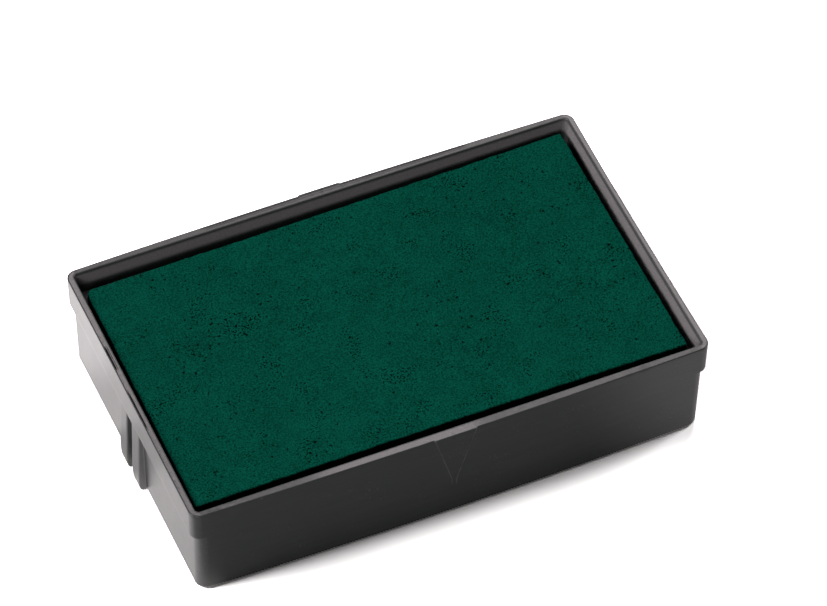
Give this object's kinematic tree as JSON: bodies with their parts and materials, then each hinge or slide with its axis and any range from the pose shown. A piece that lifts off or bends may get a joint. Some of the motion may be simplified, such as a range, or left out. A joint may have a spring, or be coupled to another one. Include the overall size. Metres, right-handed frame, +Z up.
{
  "type": "ink pad",
  "caption": "Shallow black plastic tray with end flanges, ribs and a raised rim, holding a felt ink store under a recessed green foam pad, as the replaceable ink pad of a self-inking stamp.",
  "frame": {"origin": "middle of the tray's flat base", "axes": "+X along the long sides, +Y across the tray, +Z up out of the foam face"},
  "size_m": [0.0522, 0.0326, 0.0116],
  "materials": {
    "black_plastic": "black injection-moulded plastic with a satin surface",
    "clear_adhesive": "thin clear pressure-sensitive adhesive film, slightly yellow",
    "inked_felt": "dense fibre felt soaked with green ink",
    "inked_foam": "fine-pored open foam soaked with dark green ink, matt"
  },
  "bodies": {
    "root": {"tray": "black_plastic", "adhesive_film": "clear_adhesive", "felt_reservoir": "inked_felt", "foam_face": "inked_foam"}
  },
  "joints": []
}
